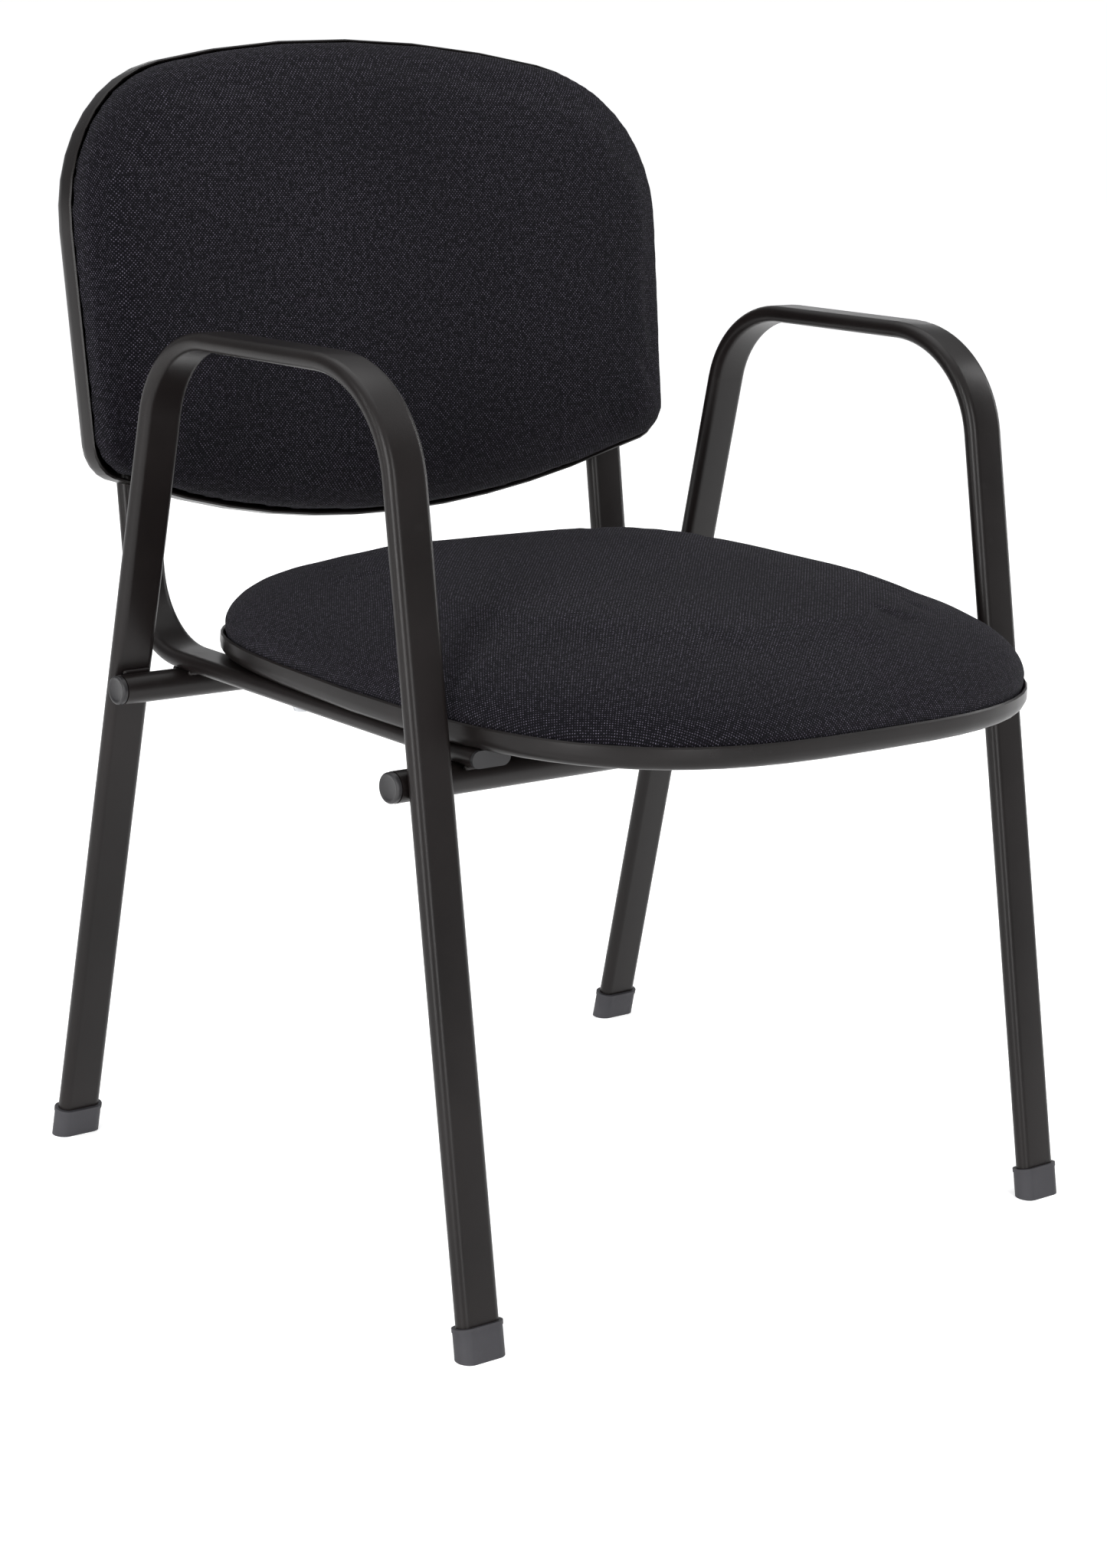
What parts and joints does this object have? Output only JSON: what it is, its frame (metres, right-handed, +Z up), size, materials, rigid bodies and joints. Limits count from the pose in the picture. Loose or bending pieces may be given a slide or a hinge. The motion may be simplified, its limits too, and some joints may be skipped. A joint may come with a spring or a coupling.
{
  "type": "stacking chair",
  "caption": "Stacking armchair with side loops of flat-oval black steel tube, a domed fabric seat in a plastic pan and an upholstered back in a plastic shell.",
  "frame": {"origin": "on the floor, midway across the chair and midway along its overall depth", "axes": "+Z up, the sitter faces -Y, +X is the sitter's left"},
  "size_m": [0.6012, 0.6631, 0.83],
  "materials": {
    "tube_black": "satin black powder coat",
    "grey_plastic": "dark grey moulded plastic",
    "foot_rubber": "dark grey matte rubber",
    "pan_plastic": "semi-gloss brown-black moulded plastic",
    "fabric": "near-black weave with small grey dots",
    "plywood": "bare plywood",
    "foam": "open-cell upholstery foam",
    "zinc_steel": "zinc plated"
  },
  "bodies": {
    "root": {"left_side_loop": "tube_black", "right_side_loop": "tube_black", "front_crossbar": "tube_black", "rear_crossbar": "tube_black", "left_rail": "tube_black", "right_rail": "tube_black", "weld_beads": "tube_black", "plug_front_left": "grey_plastic", "plug_front_right": "grey_plastic", "plug_rear_left": "grey_plastic", "plug_rear_right": "grey_plastic", "rail_plug_left": "grey_plastic", "rail_plug_right": "grey_plastic", "upright_plug_left": "grey_plastic", "upright_plug_right": "grey_plastic", "foot_front_left": "foot_rubber", "foot_front_right": "foot_rubber", "foot_rear_left": "foot_rubber", "foot_rear_right": "foot_rubber", "seat_pan": "pan_plastic", "back_shell": "pan_plastic", "seat_board": "plywood", "back_board": "plywood", "seat_foam": "foam", "back_foam": "foam", "seat_cover": "fabric", "back_cover": "fabric", "seat_bolts": "zinc_steel", "seat_washers": "zinc_steel", "seat_insert_nuts": "zinc_steel", "back_screws": "zinc_steel", "back_washers": "zinc_steel", "back_insert_nuts": "zinc_steel"}
  },
  "joints": []
}
